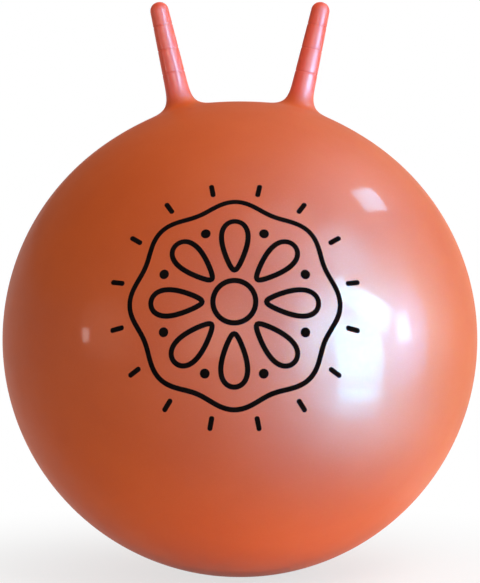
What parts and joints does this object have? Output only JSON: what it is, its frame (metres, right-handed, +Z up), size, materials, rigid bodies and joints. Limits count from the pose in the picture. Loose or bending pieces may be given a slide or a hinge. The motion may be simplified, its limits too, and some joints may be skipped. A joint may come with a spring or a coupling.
{
  "type": "hopper ball",
  "caption": "Pumped-up bouncing ball for a child to sit on, with a pair of bendable horn grips on top and a plugged air valve at the back.",
  "frame": {"origin": "on the floor, under the middle of the ball, at the centre of the flat patch that it rests on", "axes": "+Z up, between the horns; +X to the right-hand horn as seen from the front; the printed front faces -Y and the air valve faces +Y"},
  "size_m": [0.5498, 0.5498, 0.6638],
  "materials": {
    "pearl_pvc": "gloss",
    "plug_pvc": "satin",
    "black_ink": "satin"
  },
  "bodies": {
    "ball": {"ball_skin": "pearl_pvc", "left_horn_root": "pearl_pvc", "right_horn_root": "pearl_pvc", "valve_seat": "pearl_pvc"},
    "left_horn": {"left_horn_grip": "pearl_pvc"},
    "right_horn": {"right_horn_grip": "pearl_pvc"},
    "plug": {"valve_plug": "plug_pvc"}
  },
  "joints": [
    {"name": "left_horn_bend", "type": "hinge", "parent": "ball", "child": "left_horn", "pos_m": [-0.06837, 0, 0.54226], "axis": [-0.9755, 0, -0.2198], "range_deg": [-30, 30], "stiffness_Nm_per_rad": 2},
    {"name": "right_horn_bend", "type": "hinge", "parent": "ball", "child": "right_horn", "pos_m": [0.06837, 0, 0.54226], "axis": [-0.9755, 0, 0.2198], "range_deg": [-30, 30], "stiffness_Nm_per_rad": 2},
    {"name": "plug_pull", "type": "slide", "parent": "ball", "child": "plug", "axis": [0, 1, 0], "range_m": [0, 0.04]}
  ]
}
